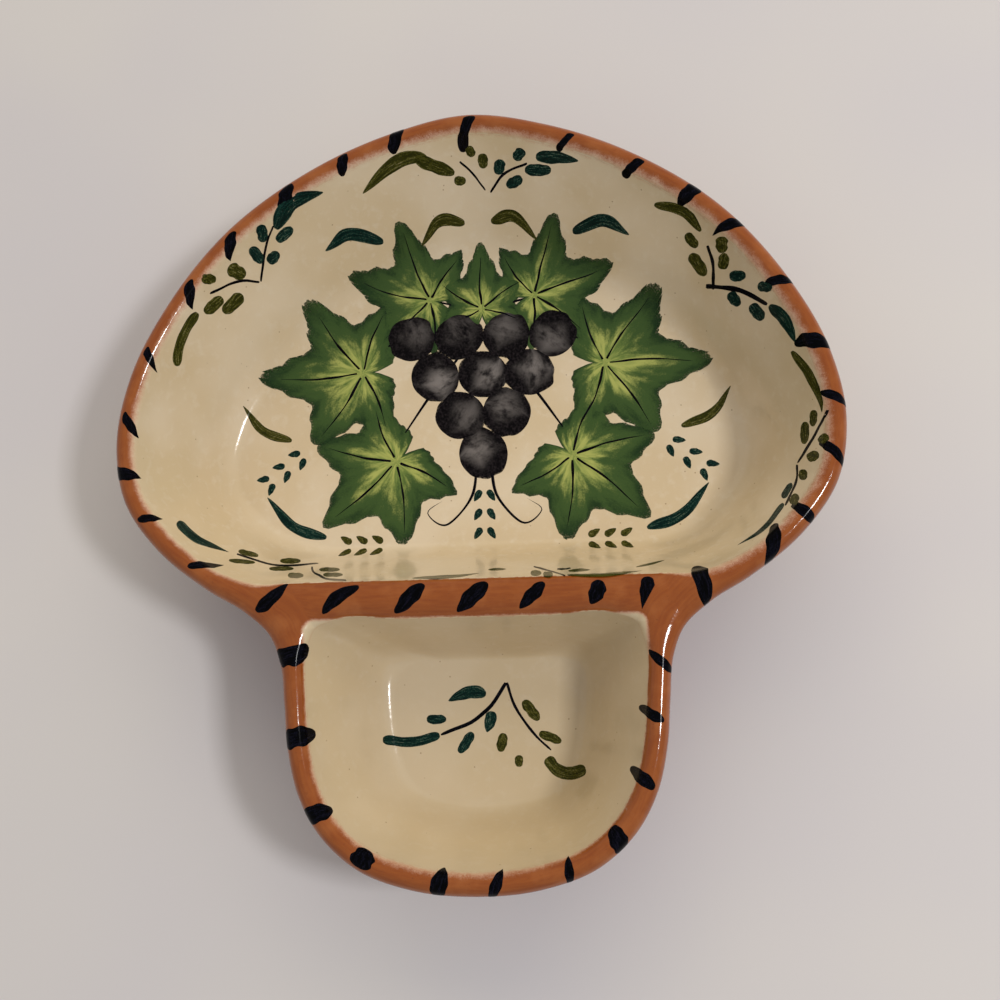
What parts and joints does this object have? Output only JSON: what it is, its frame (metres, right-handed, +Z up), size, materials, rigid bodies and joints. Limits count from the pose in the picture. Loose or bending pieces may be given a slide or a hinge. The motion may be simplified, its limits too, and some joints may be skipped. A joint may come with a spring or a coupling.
{
  "type": "olive dish",
  "caption": "Hand-painted earthenware olive dish shaped like a mushroom, with a large cap well for olives and a small stem well for stones.",
  "frame": {"origin": "on the table, under the middle of the dish's box", "axes": "+X across the cap, +Y towards the crown of the cap, +Z up out of the wells"},
  "size_m": [0.21, 0.226, 0.044],
  "materials": {
    "terracotta": "clear gloss glaze over brushed red clay",
    "cream_slip": "clear gloss glaze over cream slip"
  },
  "bodies": {
    "root": {"dish_body": "terracotta", "cap_slip": "cream_slip", "stem_slip": "cream_slip"}
  },
  "joints": []
}
